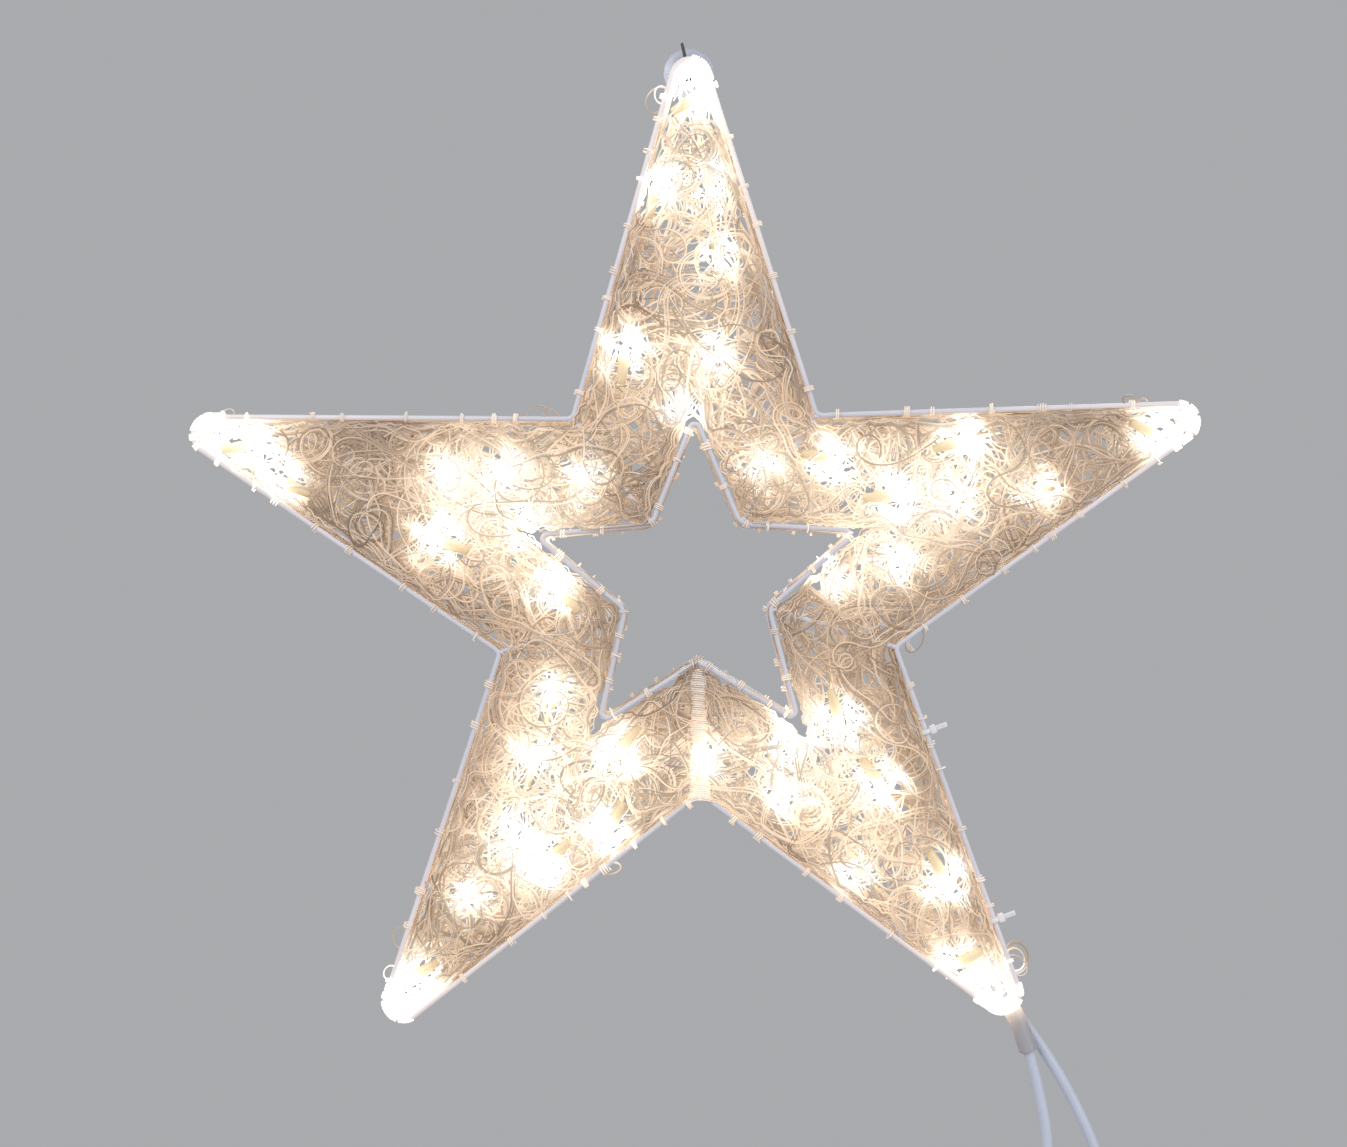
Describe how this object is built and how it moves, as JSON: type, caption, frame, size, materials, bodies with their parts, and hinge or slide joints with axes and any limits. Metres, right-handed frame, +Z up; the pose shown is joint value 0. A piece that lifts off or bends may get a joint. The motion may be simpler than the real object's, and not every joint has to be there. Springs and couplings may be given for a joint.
{
  "type": "led christmas star",
  "caption": "Lit window star: a deep wire star with an open star-shaped middle, skinned with spun thread, lamps inside, hanging by a hook from a suction cup, with two low-voltage leads.",
  "frame": {"origin": "middle of the suction cup's flat face, where it meets the pane", "axes": "+Y out of the suction cup's flat face into the pane, so the star faces -Y; +Z up; +X to the right of someone who looks at the star"},
  "size_m": [0.4998, 0.0567, 0.7728],
  "materials": {
    "white_powder_coat": "satin white coat on steel wire",
    "spun_thread": "clear acrylic thread, lit warm from inside",
    "warm_lamp_plastic": "lamp holders and lenses, lit warm white",
    "clear_soft_plastic": "clear soft plastic",
    "dark_steel": "dark bare steel wire",
    "white_nylon": "white cable tie nylon",
    "white_moulding": "moulded white plastic",
    "white_cable_sheath": "smooth round white cable sheath",
    "milky_sleeve": "milky shrunk sleeve",
    "grey_strap": "grey hook and loop strap"
  },
  "bodies": {
    "suction_cup": {"suction_cup": "clear_soft_plastic"},
    "hook": {"hook": "dark_steel"},
    "star": {"front_outline_wire": "white_powder_coat", "back_outline_wire": "white_powder_coat", "front_hole_wire": "white_powder_coat", "back_hole_wire": "white_powder_coat", "notch_brace_1": "white_powder_coat", "notch_brace_2": "white_powder_coat", "notch_brace_3": "white_powder_coat", "notch_brace_4": "white_powder_coat", "notch_brace_5": "white_powder_coat", "spacer_rod_1": "white_powder_coat", "spacer_rod_2": "white_powder_coat", "spacer_rod_3": "white_powder_coat", "spacer_rod_4": "white_powder_coat", "spacer_rod_5": "white_powder_coat", "front_net_1": "spun_thread", "front_net_2": "spun_thread", "front_net_3": "spun_thread", "front_net_4": "spun_thread", "front_net_5": "spun_thread", "back_net_1": "spun_thread", "back_net_2": "spun_thread", "back_net_3": "spun_thread", "back_net_4": "spun_thread", "back_net_5": "spun_thread", "edge_band_1": "spun_thread", "edge_band_2": "spun_thread", "edge_band_3": "spun_thread", "edge_band_4": "spun_thread", "edge_band_5": "spun_thread", "hole_band_1": "spun_thread", "hole_band_2": "spun_thread", "hole_band_3": "spun_thread", "hole_band_4": "spun_thread", "hole_band_5": "spun_thread", "lamp_chain_1": "warm_lamp_plastic", "lamp_chain_2": "warm_lamp_plastic", "lamp_chain_3": "warm_lamp_plastic", "lamp_chain_4": "warm_lamp_plastic", "lamp_chain_5": "warm_lamp_plastic", "lower_cable_tie": "white_nylon", "upper_cable_tie": "white_nylon", "notch_cable_tie": "white_nylon", "lead_joint": "white_moulding", "exit_sleeve": "milky_sleeve", "supply_lead": "white_cable_sheath", "supply_coil": "white_cable_sheath", "supply_tail": "white_cable_sheath", "link_lead": "white_cable_sheath", "supply_plug": "white_moulding", "link_socket": "white_moulding", "coil_tie": "grey_strap"},
    "cap": {"link_cap": "white_moulding"}
  },
  "joints": [
    {"name": "hook_turn", "type": "hinge", "parent": "suction_cup", "child": "hook", "pos_m": [0, -0.007, 0], "axis": [0, 1, 0], "range_deg": [-45, 45]},
    {"name": "star_tilt", "type": "hinge", "parent": "hook", "child": "star", "pos_m": [0, -0.014, -0.00495], "axis": [-1, 0, 0], "range_deg": [-1.5, 45]},
    {"name": "cap_slide", "type": "slide", "parent": "star", "child": "cap", "axis": [0, 0, -1], "range_m": [0, 0.012]}
  ]
}
